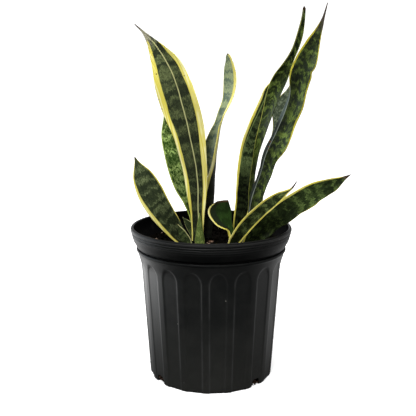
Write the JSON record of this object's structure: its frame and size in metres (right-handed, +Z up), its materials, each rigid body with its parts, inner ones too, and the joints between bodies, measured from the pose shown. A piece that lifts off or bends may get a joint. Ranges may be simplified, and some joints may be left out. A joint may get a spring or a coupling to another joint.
{
  "type": "potted snake plant",
  "caption": "Snake plant with stiff sword-shaped leaves, dark green with yellow margins, growing from soil in a black fluted nursery pot.",
  "frame": {"origin": "centre of the pot's underside, where it stands on the floor", "axes": "+Z up, +X to the plant's right as the picture shows it, -Y to its front"},
  "size_m": [0.3393, 0.254, 0.5792],
  "materials": {
    "pot_plastic": "moulded black plastic, satin",
    "potting_soil": "dark crumbly potting mix with bark",
    "stem_flesh": "pale fleshy underground stem",
    "leaf_green": "waxy leaf, dark green with grey-green cross bands and yellow margins",
    "leaf_grey": "waxy leaf, blue-grey green with a thin yellow margin",
    "leaf_pale": "young waxy leaf, plain light green"
  },
  "bodies": {
    "root": {"pot": "pot_plastic", "soil": "potting_soil", "creeping_stem": "stem_flesh", "leaf_01_tall_left": "leaf_green", "leaf_02_low_left": "leaf_green", "leaf_03_behind_left": "leaf_green", "leaf_04_twisted": "leaf_grey", "leaf_05_small_left": "leaf_green", "leaf_06_small_middle": "leaf_green", "leaf_07_sheath": "leaf_pale", "leaf_08_tall_right": "leaf_green", "leaf_09_slim_right": "leaf_green", "leaf_10_back_right": "leaf_green", "leaf_11_grey_right": "leaf_grey", "leaf_12_low_right": "leaf_green", "leaf_13_front_right": "leaf_green", "leaf_14_cut_short": "leaf_green"}
  },
  "joints": []
}
